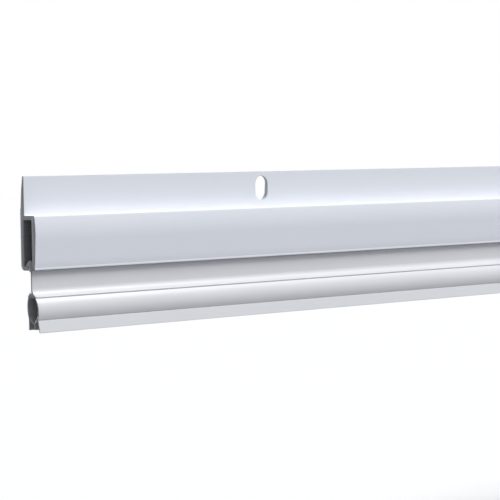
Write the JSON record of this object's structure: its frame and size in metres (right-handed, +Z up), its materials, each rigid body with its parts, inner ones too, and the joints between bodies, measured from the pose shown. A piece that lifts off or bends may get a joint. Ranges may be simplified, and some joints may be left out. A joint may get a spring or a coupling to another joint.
{
  "type": "door weatherstrip",
  "caption": "Surface-mounted door-bottom weatherstrip: a slotted aluminium carrier rail with a box channel, and a hollow-bulb vinyl sweep with wiping fins that floats up and down in it.",
  "frame": {"origin": "middle of the carrier's flat seat, on the plane of the door face that it is screwed to", "axes": "+X along the strip, +Y into the door, +Z up; the face that a person sees looks along -Y"},
  "size_m": [0.9144, 0.0093, 0.0509],
  "materials": {
    "carrier_aluminium": "satin white baked paint on extruded aluminium, with bare saw-cut ends",
    "sweep_vinyl": "soft satin white extruded vinyl"
  },
  "bodies": {
    "carrier": {"carrier": "carrier_aluminium"},
    "sweep": {"sweep": "sweep_vinyl"}
  },
  "joints": [
    {"name": "sweep_float", "type": "slide", "parent": "carrier", "child": "sweep", "axis": [0, 0, 1], "range_m": [0, 0.0069]}
  ]
}
